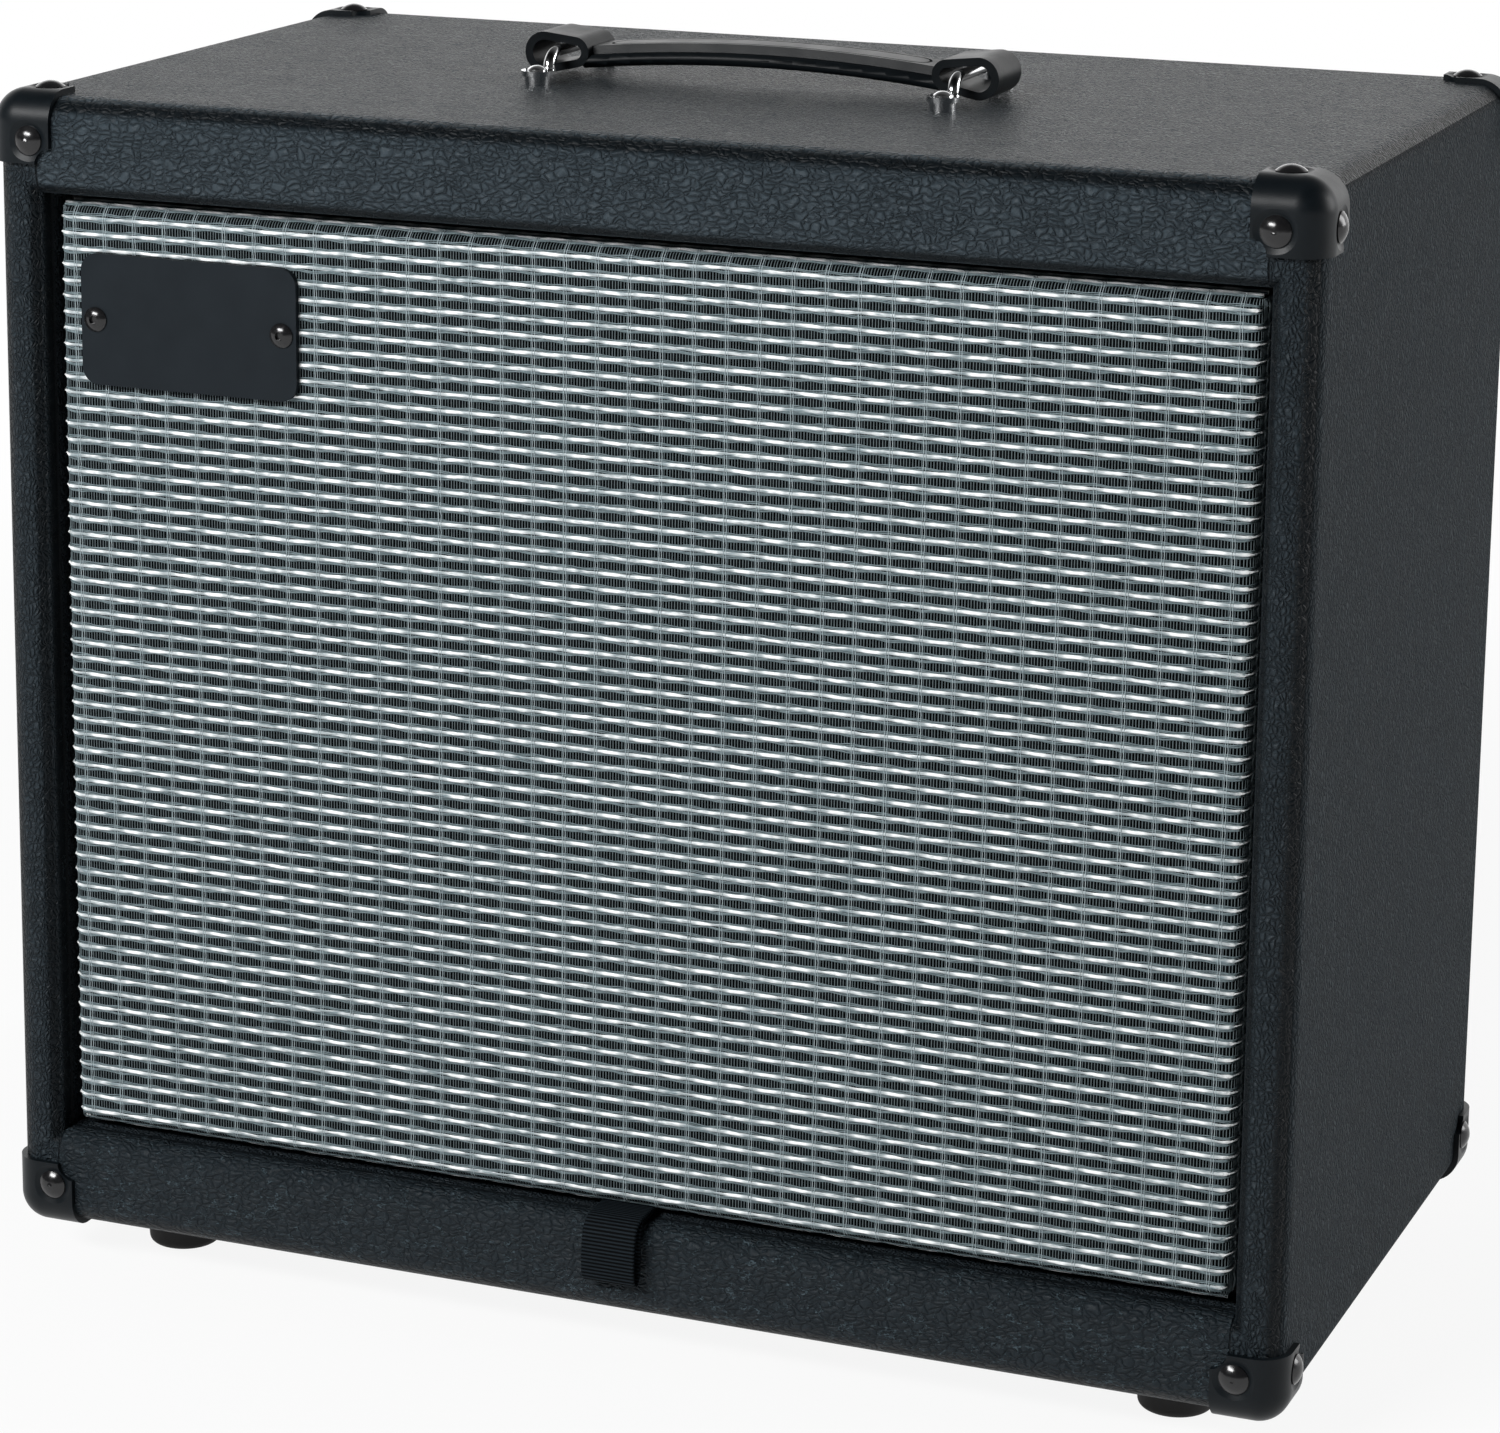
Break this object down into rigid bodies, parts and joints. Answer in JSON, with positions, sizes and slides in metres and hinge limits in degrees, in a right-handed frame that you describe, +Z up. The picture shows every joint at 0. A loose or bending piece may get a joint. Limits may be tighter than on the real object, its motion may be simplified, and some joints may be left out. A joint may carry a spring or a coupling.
{
  "type": "guitar speaker cabinet",
  "caption": "Closed guitar speaker cabinet with grained vinyl covering, a woven pull-off grille, moulded corners, rubber feet, a strap handle on bails and rear jacks",
  "frame": {"origin": "on the floor under the middle of the cabinet, at the bottom of the feet", "axes": "X across the front to the viewer's right, Y from the grille to the back panel, Z up"},
  "size_m": [0.4678, 0.2735, 0.4327],
  "materials": {
    "birch_ply": "raw plywood, hidden under the covering",
    "pine": "raw sawn softwood",
    "black_board": "plywood painted flat black",
    "black_vinyl": "grained vinyl covering, satin",
    "black_plastic": "moulded, satin",
    "black_steel": "black zinc, glossy",
    "zinc_steel": "bright zinc",
    "polished_chrome": "mirror polish",
    "foot_rubber": "moulded, matte",
    "strap_rubber": "moulded, satin",
    "grille_weave": "open weave of silver cord and black threads",
    "tape_black": "hook-and-loop tape",
    "webbing_black": "ribbed webbing",
    "satin_black": "satin black paint",
    "basket_grey": "pressed steel, grey paint",
    "gasket_grey": "foam ring",
    "cone_paper": "pressed paper pulp",
    "treated_cloth": "doped cloth",
    "amber_cloth": "resin-stiffened cloth",
    "copper": "enamelled copper wire",
    "ferrite": "pressed ceramic magnet, matte",
    "plated_iron": "zinc-plated iron",
    "tinned_brass": "tinned",
    "lead_black": "insulated wire"
  },
  "bodies": {
    "cabinet": {"top_panel": "birch_ply", "bottom_panel": "birch_ply", "left_side_panel": "birch_ply", "right_side_panel": "birch_ply", "top_front_rail": "birch_ply", "bottom_front_rail": "birch_ply", "vinyl_covering": "black_vinyl", "baffle_board": "black_board", "back_panel": "black_board", "baffle_battens": "pine", "back_battens": "pine", "front_top_left_corner": "black_plastic", "front_top_right_corner": "black_plastic", "front_bottom_left_corner": "black_plastic", "front_bottom_right_corner": "black_plastic", "back_top_left_corner": "black_plastic", "back_top_right_corner": "black_plastic", "back_bottom_left_corner": "black_plastic", "back_bottom_right_corner": "black_plastic", "jack_dish": "black_plastic", "input_jack": "black_plastic", "link_jack": "black_plastic", "corner_screws": "black_steel", "back_panel_screws": "black_steel", "jack_dish_screws": "black_steel", "speaker_bolts": "black_steel", "foot_screws": "zinc_steel", "foot_washers": "zinc_steel", "speaker_nuts": "zinc_steel", "left_handle_bail": "polished_chrome", "right_handle_bail": "polished_chrome", "bail_bushes": "polished_chrome", "bail_screws": "polished_chrome", "jack_nuts": "polished_chrome", "front_left_foot": "foot_rubber", "front_right_foot": "foot_rubber", "back_left_foot": "foot_rubber", "back_right_foot": "foot_rubber", "baffle_loop_tapes": "tape_black", "speaker_basket": "basket_grey", "speaker_gasket": "gasket_grey", "cone_surround": "treated_cloth", "spider": "amber_cloth", "magnet": "ferrite", "top_plate": "plated_iron", "back_plate": "plated_iron", "speaker_terminals": "tinned_brass", "tinsel_leads": "tinned_brass", "speaker_lead": "lead_black"},
    "grille": {"grille_frame": "black_board", "grille_cloth": "grille_weave", "grille_hook_tapes": "tape_black", "badge_plate": "satin_black", "badge_screws": "black_steel", "tab_tails": "webbing_black"},
    "pull_tab": {"pull_tab": "webbing_black"},
    "cone": {"speaker_cone": "cone_paper", "dust_cap": "cone_paper", "voice_coil": "copper"},
    "handle": {"handle_strap": "strap_rubber"}
  },
  "joints": [
    {"name": "grille_release", "type": "slide", "parent": "cabinet", "child": "grille", "axis": [0, -1, 0], "range_m": [0, 0.07]},
    {"name": "pull_tab_swing", "type": "hinge", "parent": "grille", "child": "pull_tab", "pos_m": [0, -0.1243, 0.0514], "axis": [-1, 0, 0], "range_deg": [0, 70]},
    {"name": "cone_travel", "type": "slide", "parent": "cabinet", "child": "cone", "axis": [0, -1, 0], "range_m": [-0.0035, 0.0035], "stiffness_N_per_m": 3000, "deforming": ["cone_surround", "spider", "tinsel_leads"]},
    {"name": "handle_play", "type": "slide", "parent": "cabinet", "child": "handle", "axis": [-1, 0, 0], "range_m": [-0.0032, 0.0032]}
  ]
}
